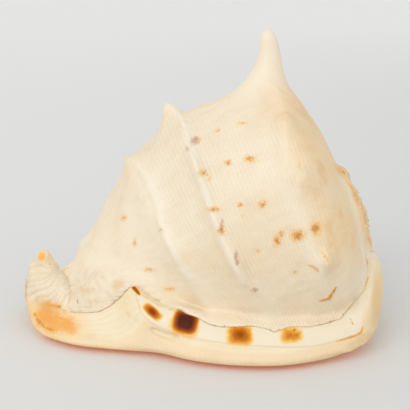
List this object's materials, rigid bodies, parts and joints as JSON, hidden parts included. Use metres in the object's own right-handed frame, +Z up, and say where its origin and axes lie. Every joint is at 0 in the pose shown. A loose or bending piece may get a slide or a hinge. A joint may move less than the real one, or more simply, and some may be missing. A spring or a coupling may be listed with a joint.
{
  "type": "horned helmet shell",
  "caption": "Large sea snail shell with a tall back horn, a knobbed whorl, a broad flat shield and a narrow toothed mouth underneath.",
  "frame": {"origin": "on the ground, under the middle of the shell's bounding box", "axes": "+X toward the spire, -X toward the upturned siphonal canal, -Y toward the shield of the inner lip with its old lip, +Y toward the outer lip, +Z up through the tall horn; the shell lies on its mouth"},
  "size_m": [0.2339, 0.1794, 0.1872],
  "materials": {
    "shell": "satin cream, glossy peach underneath"
  },
  "bodies": {
    "root": {"helmet_shell": "shell"}
  },
  "joints": []
}
